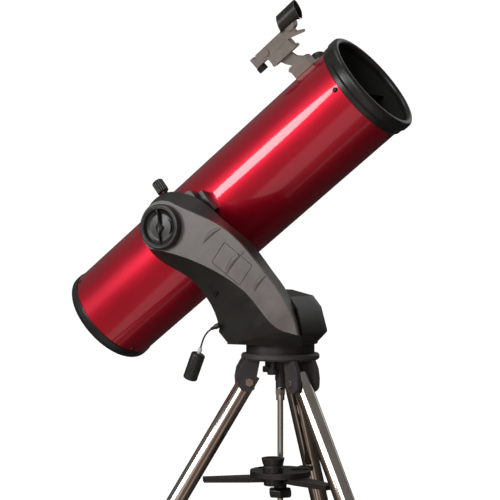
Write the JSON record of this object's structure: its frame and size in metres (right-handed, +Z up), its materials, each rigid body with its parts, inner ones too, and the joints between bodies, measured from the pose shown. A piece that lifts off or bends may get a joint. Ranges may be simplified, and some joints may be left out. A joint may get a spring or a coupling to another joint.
{
  "type": "newtonian telescope on an altitude-azimuth tripod mount",
  "caption": "Reflecting telescope: a lacquered tube on one side of a curved motor-driven arm, turning on a folding steel tripod with an eyepiece tray, a finder and a hanging dongle.",
  "frame": {"origin": "on the floor, under the azimuth axis of the mount", "axes": "+X is the way the tube's mouth faces in plan, +Y from the arm to the tube's side, +Z up"},
  "size_m": [0.8748, 0.7501, 1.2993],
  "materials": {
    "black_metal": "black anodised",
    "black_plastic": "fine satin moulding",
    "board_green": "solder mask",
    "cast_metal": "textured paint on a casting",
    "cell_wrap": "battery sleeve",
    "charcoal_casing": "fine grained satin moulding",
    "chrome_hardware": "bright plated",
    "clear_plug": "milky moulding",
    "cord_black": "flexible sheath",
    "foot_rubber": "moulded",
    "inner_black": "flat black",
    "mirror_glass": "aluminised glass",
    "polished_steel": "polished stainless steel",
    "taupe_metal": "satin paint on cast metal",
    "taupe_panel": "satin paint on a moulded cover",
    "tube_red": "metallic gloss lacquer",
    "worm_brass": "machined"
  },
  "bodies": {
    "tripod": {"tripod_head": "cast_metal", "azimuth_base": "charcoal_casing", "center_rod": "chrome_hardware", "captive_bolts": "black_metal", "hinge_bolts": "chrome_hardware"},
    "leg_1": {"leg_tube_1": "polished_steel", "leg_collar_1": "black_plastic"},
    "inner_leg_1": {"inner_leg_1": "polished_steel", "leg_foot_1": "foot_rubber"},
    "leg_clamp_1": {"leg_clamp_1": "black_plastic"},
    "leg_2": {"leg_tube_2": "polished_steel", "leg_collar_2": "black_plastic"},
    "inner_leg_2": {"inner_leg_2": "polished_steel", "leg_foot_2": "foot_rubber"},
    "leg_clamp_2": {"leg_clamp_2": "black_plastic"},
    "leg_3": {"leg_tube_3": "polished_steel", "leg_collar_3": "black_plastic"},
    "inner_leg_3": {"inner_leg_3": "polished_steel", "leg_foot_3": "foot_rubber"},
    "leg_clamp_3": {"leg_clamp_3": "black_plastic"},
    "tray": {"spreader_tray": "charcoal_casing"},
    "tray_knob": {"tray_knob": "black_plastic"},
    "spare_eyepiece": {"spare_eyepiece": "black_metal"},
    "mount": {"base_housing": "charcoal_casing", "base_plate": "charcoal_casing", "drive_units": "worm_brass", "drive_board": "board_green", "arm_body": "charcoal_casing", "arm_panel": "taupe_panel", "battery_holder": "cell_wrap", "lead_port": "black_plastic", "wifi_lead": "cord_black", "lead_plug": "clear_plug", "wifi_dongle": "black_plastic"},
    "battery_door": {"battery_door": "taupe_panel"},
    "power_rocker": {"power_rocker": "black_plastic"},
    "cradle": {"saddle": "black_metal", "altitude_shaft": "chrome_hardware"},
    "altitude_knob": {"altitude_knob": "black_plastic"},
    "saddle_screw": {"saddle_screw": "black_metal"},
    "optical_tube": {"main_tube": "tube_red", "front_ring": "black_plastic", "rear_cap": "black_plastic", "mirror_cell": "inner_black", "primary_mirror": "mirror_glass", "collimation_screws": "chrome_hardware", "spider": "inner_black", "secondary_mirror": "mirror_glass", "secondary_holder": "inner_black", "tube_screws": "black_metal", "dovetail_bar": "black_metal", "focuser_base": "black_metal", "finder_shoe": "taupe_metal", "finder_bracket": "taupe_metal"},
    "drawtube": {"drawtube": "chrome_hardware"},
    "focus_knobs": {"focus_knobs": "black_plastic"},
    "eyepiece": {"eyepiece": "black_metal"},
    "finder": {"finder_rail": "taupe_metal", "finder_hood": "black_metal"},
    "finder_dial": {"finder_dial": "black_plastic"}
  },
  "joints": [
    {"name": "leg_1_fold", "type": "hinge", "parent": "tripod", "child": "leg_1", "pos_m": [-0.04576, -0.03399, 0.652], "axis": [0.5962, -0.8028, 0], "range_deg": [0, 16]},
    {"name": "leg_1_extend", "type": "slide", "parent": "leg_1", "child": "inner_leg_1", "axis": [-0.4135, -0.3071, -0.8572], "range_m": [0, 0.22]},
    {"name": "leg_1_clamp_turn", "type": "hinge", "parent": "leg_1", "child": "leg_clamp_1", "pos_m": [-0.2831, -0.21025, 0.15999], "axis": [-0.6881, -0.5111, 0.515], "range_deg": [-180, 180]},
    {"name": "leg_2_fold", "type": "hinge", "parent": "tripod", "child": "leg_2", "pos_m": [0.05231, -0.02264, 0.652], "axis": [0.3971, 0.9178, 0], "range_deg": [0, 16]},
    {"name": "leg_2_extend", "type": "slide", "parent": "leg_2", "child": "inner_leg_2", "axis": [0.4727, -0.2045, -0.8572], "range_m": [0, 0.22]},
    {"name": "leg_2_clamp_turn", "type": "hinge", "parent": "leg_2", "child": "leg_clamp_2", "pos_m": [0.32363, -0.14005, 0.15999], "axis": [0.7867, -0.3404, 0.515], "range_deg": [-180, 180]},
    {"name": "leg_3_fold", "type": "hinge", "parent": "tripod", "child": "leg_3", "pos_m": [-0.00655, 0.05662, 0.652], "axis": [-0.9934, -0.1149, 0], "range_deg": [0, 16]},
    {"name": "leg_3_extend", "type": "slide", "parent": "leg_3", "child": "inner_leg_3", "axis": [-0.0592, 0.5116, -0.8572], "range_m": [0, 0.22]},
    {"name": "leg_3_clamp_turn", "type": "hinge", "parent": "leg_3", "child": "leg_clamp_3", "pos_m": [-0.04053, 0.3503, 0.15999], "axis": [-0.0985, 0.8515, 0.515], "range_deg": [-180, 180]},
    {"name": "tray_slide", "type": "slide", "parent": "tripod", "child": "tray", "axis": [0, 0, -1], "range_m": [0, 0.195]},
    {"name": "tray_knob_turn", "type": "hinge", "parent": "tray", "child": "tray_knob", "pos_m": [0, 0, 0.47], "axis": [0, 0, 1], "continuous": true},
    {"name": "spare_eyepiece_lift", "type": "slide", "parent": "tray", "child": "spare_eyepiece", "axis": [0, 0, 1], "range_m": [0, 0.06]},
    {"name": "azimuth_turn", "type": "hinge", "parent": "tripod", "child": "mount", "pos_m": [0, 0, 0.716], "axis": [0, 0, 1], "continuous": true},
    {"name": "battery_door_lift", "type": "slide", "parent": "mount", "child": "battery_door", "axis": [0, -1, 0], "range_m": [0, 0.03]},
    {"name": "power_rock", "type": "hinge", "parent": "mount", "child": "power_rocker", "pos_m": [-0.085, -0.08, 0.8085], "axis": [0.6256, -0.4272, 0.6528], "range_deg": [-6, 6]},
    {"name": "altitude_turn", "type": "hinge", "parent": "mount", "child": "cradle", "pos_m": [-0.171, -0.072, 0.9145], "axis": [0, -1, 0], "range_deg": [-37.3, 47]},
    {"name": "altitude_knob_turn", "type": "hinge", "parent": "cradle", "child": "altitude_knob", "pos_m": [-0.171, -0.106, 0.9145], "axis": [0, -1, 0], "range_deg": [0, 90]},
    {"name": "saddle_screw_turn", "type": "hinge", "parent": "cradle", "child": "saddle_screw", "pos_m": [-0.20187, -0.0515, 0.97647], "axis": [-0.606, 0, 0.7955], "continuous": true},
    {"name": "tube_slide", "type": "slide", "parent": "cradle", "child": "optical_tube", "axis": [0.7955, 0, 0.606], "range_m": [-0.025, 0.025]},
    {"name": "focus_travel", "type": "slide", "parent": "optical_tube", "child": "drawtube", "axis": [-0.4903, 0.5878, 0.6436], "range_m": [0, 0.045]},
    {"name": "focus_knob_turn", "type": "hinge", "parent": "optical_tube", "child": "focus_knobs", "pos_m": [0.00493, 0.13606, 1.14396], "axis": [0.7955, 0, 0.606], "range_deg": [-720, 720]},
    {"name": "eyepiece_lift", "type": "slide", "parent": "drawtube", "child": "eyepiece", "axis": [-0.4903, 0.5878, 0.6436], "range_m": [0, 0.05]},
    {"name": "finder_aim", "type": "hinge", "parent": "optical_tube", "child": "finder", "pos_m": [0.00932, 0.00149, 1.22897], "axis": [-0.573, -0.3256, 0.7521], "range_deg": [-2, 2]},
    {"name": "finder_dial_turn", "type": "hinge", "parent": "finder", "child": "finder_dial", "pos_m": [-0.03377, 0.00458, 1.18486], "axis": [-0.573, -0.3256, 0.7521], "range_deg": [0, 270]}
  ],
  "couplings": [
    {"joint": "leg_2_fold", "follows": "leg_1_fold", "ratio": 1},
    {"joint": "leg_3_fold", "follows": "leg_1_fold", "ratio": 1},
    {"joint": "tray_slide", "follows": "leg_1_fold", "m_per_rad": 0.69829},
    {"joint": "focus_knob_turn", "follows": "focus_travel", "rad_per_m": -200}
  ]
}
